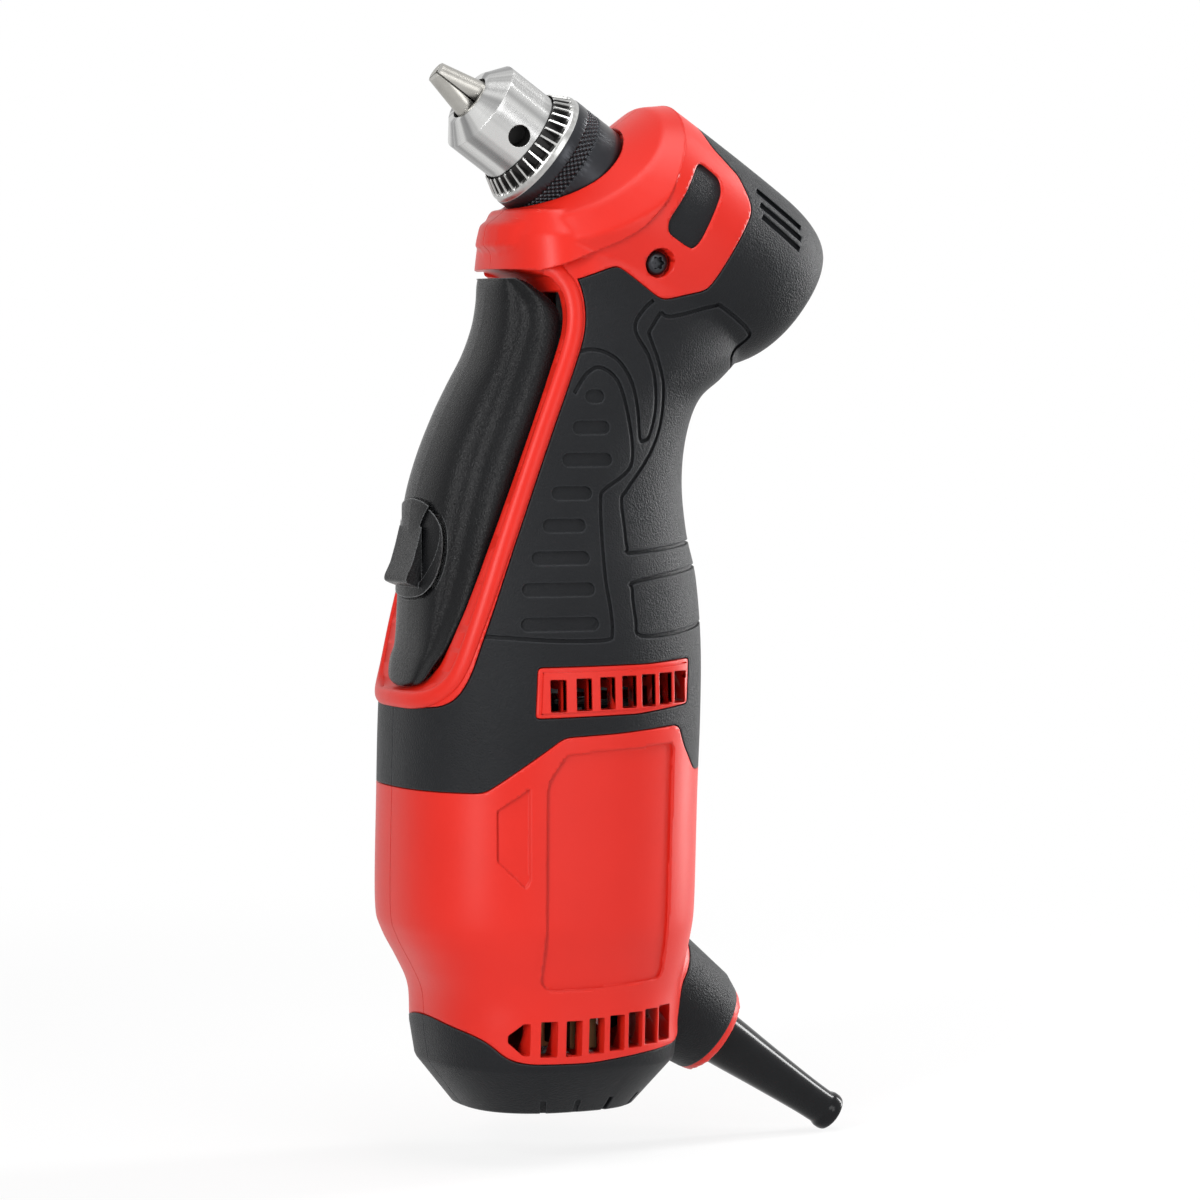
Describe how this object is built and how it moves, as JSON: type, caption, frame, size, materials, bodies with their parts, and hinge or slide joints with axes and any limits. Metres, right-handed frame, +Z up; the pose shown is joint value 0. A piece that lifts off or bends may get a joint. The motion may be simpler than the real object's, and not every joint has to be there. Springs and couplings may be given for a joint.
{
  "type": "right angle drill",
  "caption": "Corded right angle drill with a long paddle switch, a soft black grip, a keyed chuck on an angled head, a motor and a bevel gear train inside.",
  "frame": {"origin": "middle of the flat foot, on the motor axis", "axes": "+Z up the motor axis, the chuck points to -X and up, the halves meet on the plane y = 0"},
  "size_m": [0.1389, 0.078, 0.3015],
  "materials": {
    "housing_red": "fine moulded grain",
    "soft_black": "soft moulded skin",
    "black_plastic": "fine moulded grain",
    "fan_plastic": "moulded",
    "boot_rubber": "smooth, slightly glossy",
    "black_steel": "black oxide",
    "ground_steel": "ground",
    "polished_steel": "turned and polished",
    "jaw_steel": "ground",
    "bronze": "sintered",
    "cast_alloy": "die cast",
    "lamination": "stacked sheet",
    "copper": "enamelled wire and turned copper",
    "carbon": "pressed carbon"
  },
  "bodies": {
    "housing": {"housing_left": "housing_red", "housing_right": "housing_red", "grip_overmould_left": "soft_black", "grip_overmould_right": "soft_black", "end_overmould_left": "soft_black", "end_overmould_right": "soft_black", "head_pad_left": "soft_black", "head_pad_right": "soft_black", "gear_case_screws": "black_steel", "housing_screws": "black_steel", "paddle_pin": "ground_steel", "switch_body": "black_plastic", "cord_boot": "boot_rubber", "front_bearing": "ground_steel", "rear_bush": "bronze", "gear_case": "cast_alloy", "layshaft_bearing": "ground_steel", "layshaft_bush": "bronze", "bearing_plate": "cast_alloy", "lower_bearing": "ground_steel", "upper_bearing": "ground_steel", "stator_core": "lamination", "field_coils": "copper", "brush_holders": "bronze", "carbon_brushes": "carbon"},
    "paddle": {"paddle": "black_plastic"},
    "selector": {"reverse_selector": "black_plastic"},
    "plunger": {"switch_plunger": "ground_steel"},
    "spindle": {"spindle": "ground_steel", "bevel_gear": "ground_steel", "chuck_body": "polished_steel", "chuck_screw": "black_steel"},
    "sleeve": {"chuck_sleeve": "black_steel", "chuck_nut": "black_steel"},
    "jaw_1": {"jaw_1": "jaw_steel"},
    "jaw_2": {"jaw_2": "jaw_steel"},
    "jaw_3": {"jaw_3": "jaw_steel"},
    "layshaft": {"layshaft": "ground_steel", "bevel_pinion": "ground_steel", "first_gear": "ground_steel"},
    "armature": {"armature_shaft": "ground_steel", "armature_core": "lamination", "armature_windings": "copper", "commutator": "copper", "cooling_fan": "fan_plastic"}
  },
  "joints": [
    {"name": "armature_spin", "type": "hinge", "parent": "housing", "child": "armature", "pos_m": [0, 0, 0.06], "axis": [0, 0, 1], "continuous": true},
    {"name": "layshaft_spin", "type": "hinge", "parent": "housing", "child": "layshaft", "pos_m": [0.018, 0, 0.16], "axis": [0, 0, 1], "continuous": true},
    {"name": "spindle_spin", "type": "hinge", "parent": "housing", "child": "spindle", "pos_m": [0, 0, 0.26381], "axis": [-0.8192, 0, 0.5736], "continuous": true},
    {"name": "sleeve_turn", "type": "hinge", "parent": "spindle", "child": "sleeve", "pos_m": [0, 0, 0.26381], "axis": [-0.8192, 0, 0.5736], "range_deg": [0, 1800]},
    {"name": "jaw_1_slide", "type": "slide", "parent": "spindle", "child": "jaw_1", "axis": [0.8962, -0.183, -0.4041], "range_m": [0, 0.013]},
    {"name": "jaw_2_slide", "type": "slide", "parent": "spindle", "child": "jaw_2", "axis": [0.8297, 0.25, -0.4992], "range_m": [0, 0.013]},
    {"name": "jaw_3_slide", "type": "slide", "parent": "spindle", "child": "jaw_3", "axis": [0.6478, -0.067, -0.7588], "range_m": [0, 0.013]},
    {"name": "paddle_squeeze", "type": "hinge", "parent": "housing", "child": "paddle", "pos_m": [-0.03551, 0, 0.12013], "axis": [0, 1, 0], "range_deg": [0, 3.5], "stiffness_Nm_per_rad": 8, "springref_deg": -2.86},
    {"name": "plunger_push", "type": "slide", "parent": "housing", "child": "plunger", "axis": [1, 0, 0], "range_m": [0, 0.0036]},
    {"name": "selector_slide", "type": "slide", "parent": "paddle", "child": "selector", "axis": [0, 1, 0], "range_m": [-0.0025, 0.0025]}
  ],
  "couplings": [
    {"joint": "layshaft_spin", "follows": "armature_spin", "ratio": -0.2},
    {"joint": "spindle_spin", "follows": "armature_spin", "ratio": 0.066667},
    {"joint": "jaw_1_slide", "follows": "sleeve_turn", "m_per_rad": 0.00041376},
    {"joint": "jaw_2_slide", "follows": "sleeve_turn", "m_per_rad": 0.00041376},
    {"joint": "jaw_3_slide", "follows": "sleeve_turn", "m_per_rad": 0.00041376},
    {"joint": "plunger_push", "follows": "paddle_squeeze", "m_per_rad": 0.0584}
  ]
}
